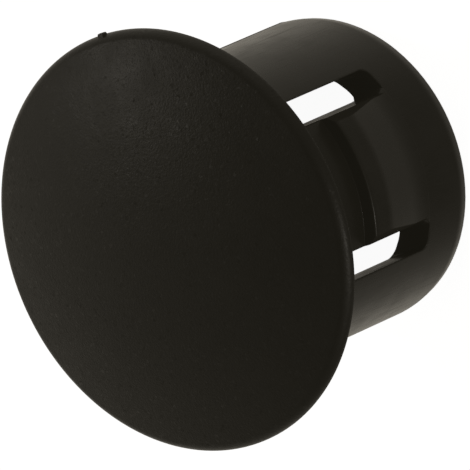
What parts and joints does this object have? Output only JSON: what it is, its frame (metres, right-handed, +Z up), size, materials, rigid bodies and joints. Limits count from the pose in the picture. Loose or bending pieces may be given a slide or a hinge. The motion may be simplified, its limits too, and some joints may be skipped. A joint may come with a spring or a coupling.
{
  "type": "desk hole plug",
  "caption": "Domed round blanking plug for a desk cable hole, with a slotted hollow shank whose barbed snap tongues grip the board.",
  "frame": {"origin": "centre of the cap's underside, in the plane of the desk top, on the plug's axis", "axes": "+Z up along the plug's axis, out of the desk through the dome; the snap tongues face -Y and +Y; the gate mark is at +X"},
  "size_m": [0.0511, 0.0508, 0.0373],
  "materials": {
    "grained_plastic": "black, fine spark-eroded grain",
    "smooth_plastic": "black, smooth, semi-gloss as moulded"
  },
  "bodies": {
    "plug": {"domed_cap": "grained_plastic", "slotted_shank": "smooth_plastic"},
    "front_tongue": {"snap_tongue_front": "smooth_plastic"},
    "rear_tongue": {"snap_tongue_rear": "smooth_plastic"}
  },
  "joints": [
    {"name": "tongue_front_bend", "type": "hinge", "parent": "plug", "child": "front_tongue", "pos_m": [0, -0.0116, -0.024], "axis": [-1, 0, 0], "range_deg": [0, 7], "stiffness_Nm_per_rad": 2},
    {"name": "tongue_rear_bend", "type": "hinge", "parent": "plug", "child": "rear_tongue", "pos_m": [0, 0.0116, -0.024], "axis": [1, 0, 0], "range_deg": [0, 7], "stiffness_Nm_per_rad": 2}
  ]
}
